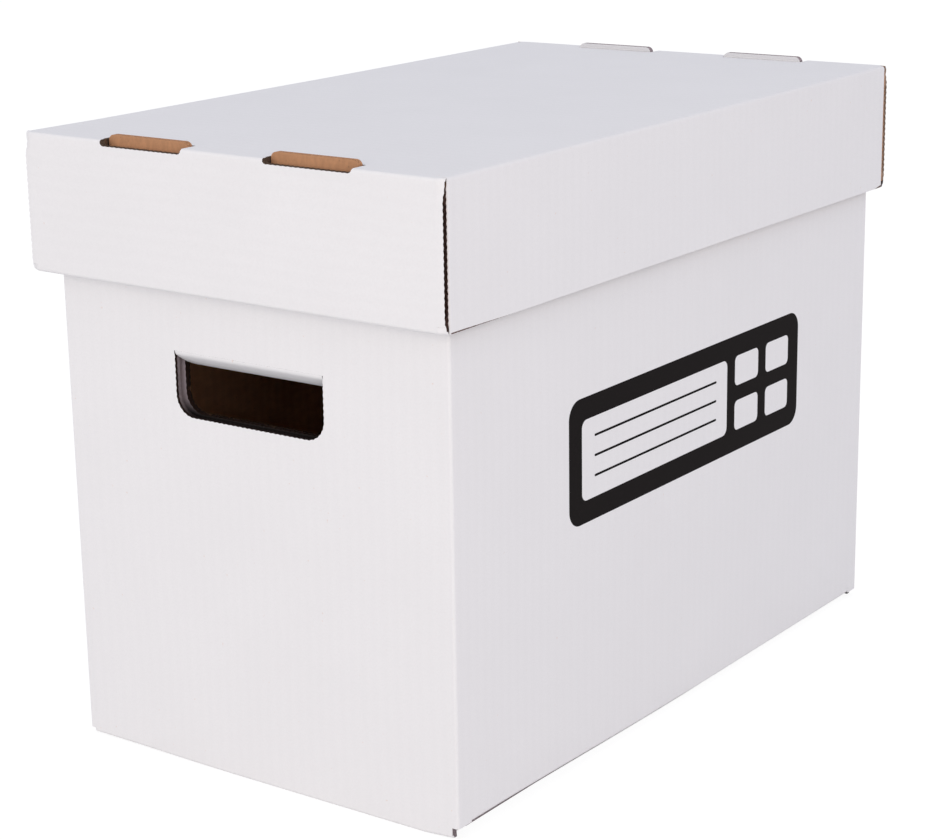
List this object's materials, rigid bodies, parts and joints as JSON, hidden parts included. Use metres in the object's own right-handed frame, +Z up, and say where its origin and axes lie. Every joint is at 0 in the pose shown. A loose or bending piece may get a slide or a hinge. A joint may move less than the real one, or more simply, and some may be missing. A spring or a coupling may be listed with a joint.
{
  "type": "magazine storage box",
  "caption": "Corrugated board box for storing magazines upright, with double end walls, a pushed-in hand hole in each end and a lift-off lid locked by tabs.",
  "frame": {"origin": "middle of the base, on the plane that the box stands on", "axes": "+Z up, +Y along the long sides towards the rear end, +X across the box towards the right side"},
  "size_m": [0.2434, 0.4148, 0.3071],
  "materials": {
    "white_liner": "matte",
    "kraft_liner": "matte"
  },
  "bodies": {
    "box": {"body_end_front": "white_liner", "body_rim_front": "white_liner", "body_inner_end_front": "white_liner", "bottom_flap_front": "white_liner", "body_end_rear": "white_liner", "body_rim_rear": "white_liner", "body_inner_end_rear": "white_liner", "bottom_flap_rear": "white_liner", "body_side_right": "white_liner", "bottom_flap_right": "kraft_liner", "body_side_left": "white_liner", "bottom_flap_left": "kraft_liner", "body_glue_tab": "kraft_liner"},
    "lid": {"lid_top": "white_liner", "lid_end_front": "white_liner", "lid_rim_front": "white_liner", "lid_inner_end_front": "white_liner", "lid_corner_tab_front_right": "kraft_liner", "lid_corner_tab_front_left": "kraft_liner", "lid_end_rear": "white_liner", "lid_rim_rear": "white_liner", "lid_inner_end_rear": "white_liner", "lid_corner_tab_rear_right": "kraft_liner", "lid_corner_tab_rear_left": "kraft_liner", "lid_side_right": "white_liner", "lid_side_left": "white_liner"},
    "flap_front": {"hand_flap_front": "white_liner"},
    "flap_rear": {"hand_flap_rear": "white_liner"}
  },
  "joints": [
    {"name": "lid_lift", "type": "slide", "parent": "box", "child": "lid", "axis": [0, 0, 1], "range_m": [0, 0.2]},
    {"name": "flap_front_hinge", "type": "hinge", "parent": "box", "child": "flap_front", "pos_m": [0, -0.19685, 0.208], "axis": [1, 0, 0], "range_deg": [-58, 12]},
    {"name": "flap_rear_hinge", "type": "hinge", "parent": "box", "child": "flap_rear", "pos_m": [0, 0.19685, 0.208], "axis": [-1, 0, 0], "range_deg": [-58, 12]}
  ]
}
